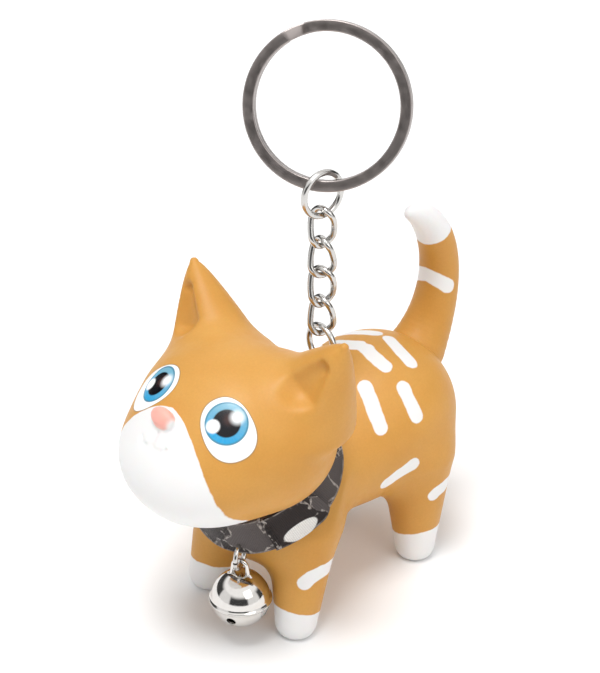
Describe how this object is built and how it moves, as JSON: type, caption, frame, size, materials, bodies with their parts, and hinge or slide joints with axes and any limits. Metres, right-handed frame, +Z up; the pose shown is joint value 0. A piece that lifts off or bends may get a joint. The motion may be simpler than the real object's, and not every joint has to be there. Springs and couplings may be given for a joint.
{
  "type": "kitten figure key ring",
  "caption": "Moulded vinyl kitten figure with a ribbon collar and jingle bell, hung by a curb chain from a flat-wire split key ring.",
  "frame": {"origin": "centre of the split ring, where a key, hook or finger goes through it", "axes": "+Z up, along the hanging chain; the kitten looks along -Y and its left side is towards +X"},
  "size_m": [0.0429, 0.0814, 0.1093],
  "materials": {
    "ring_steel": "nickel plated flat spring wire, dark and glossy",
    "chain_steel": "nickel plated round wire, bright",
    "vinyl": "soft-touch matte vinyl, orange with sprayed white markings",
    "plug": "moulded plug, orange",
    "ribbon": "woven ribbon, near black with grey patches",
    "bell_metal": "nickel plated sheet, mirror bright",
    "pellet_steel": "plain steel ball"
  },
  "bodies": {
    "ring": {"split_ring": "ring_steel"},
    "upper_jump_ring": {"upper_jump_ring": "chain_steel"},
    "link_1": {"chain_link_1": "chain_steel"},
    "link_2": {"chain_link_2": "chain_steel"},
    "link_3": {"chain_link_3": "chain_steel"},
    "link_4": {"chain_link_4": "chain_steel"},
    "lower_jump_ring": {"lower_jump_ring": "chain_steel"},
    "kitten": {"screw_eye": "chain_steel", "anchor_plug": "plug", "body_shell": "vinyl", "tail": "vinyl", "head_shell": "vinyl"},
    "collar": {"collar": "ribbon"},
    "bell_ring": {"bell_ring": "chain_steel"},
    "bell": {"bell_loop": "bell_metal", "bell_cap": "bell_metal", "bell_cup": "bell_metal"},
    "pellet": {"bell_pellet": "pellet_steel"}
  },
  "joints": [
    {"name": "upper_ring_swing", "type": "hinge", "parent": "ring", "child": "upper_jump_ring", "pos_m": [0.00229, -0.00367, -0.01332], "axis": [0.848, 0.5299, 0], "range_deg": [-90, 90]},
    {"name": "link_1_swing", "type": "hinge", "parent": "upper_jump_ring", "child": "link_1", "pos_m": [0.00229, -0.00367, -0.01906], "axis": [-0.1736, -0.9848, 0], "range_deg": [-75, 75]},
    {"name": "link_2_swing", "type": "hinge", "parent": "link_1", "child": "link_2", "pos_m": [0.00229, -0.00367, -0.02366], "axis": [0.9848, -0.1736, 0], "range_deg": [-55, 55]},
    {"name": "link_3_swing", "type": "hinge", "parent": "link_2", "child": "link_3", "pos_m": [0.00229, -0.00367, -0.03096], "axis": [0.1736, 0.9848, 0], "range_deg": [-55, 55]},
    {"name": "link_4_swing", "type": "hinge", "parent": "link_3", "child": "link_4", "pos_m": [0.00229, -0.00367, -0.03556], "axis": [-0.9848, 0.1736, 0], "range_deg": [-55, 55]},
    {"name": "lower_ring_swing", "type": "hinge", "parent": "link_4", "child": "lower_jump_ring", "pos_m": [0.00229, -0.00367, -0.04287], "axis": [-0.1736, -0.9848, 0], "range_deg": [-75, 75]},
    {"name": "kitten_swing", "type": "hinge", "parent": "lower_jump_ring", "child": "kitten", "pos_m": [0.00229, -0.00367, -0.04911], "axis": [0.9848, -0.1736, 0], "range_deg": [-40, 40]},
    {"name": "collar_turn", "type": "hinge", "parent": "kitten", "child": "collar", "pos_m": [0.00229, -0.02067, -0.06456], "axis": [0, -0.5736, 0.8192], "range_deg": [-20, 0]},
    {"name": "bell_ring_swing", "type": "hinge", "parent": "collar", "child": "bell_ring", "pos_m": [0.00729, -0.03094, -0.07383], "axis": [-0.9139, -0.406, 0], "range_deg": [0, 20]},
    {"name": "bell_swing", "type": "hinge", "parent": "bell_ring", "child": "bell", "pos_m": [0.00729, -0.03094, -0.07863], "axis": [0.406, -0.9139, 0], "range_deg": [-45, 0]},
    {"name": "pellet_roll", "type": "hinge", "parent": "bell", "child": "pellet", "pos_m": [0.00729, -0.03094, -0.08546], "axis": [0.406, -0.9139, 0], "range_deg": [-50, 50]}
  ]
}
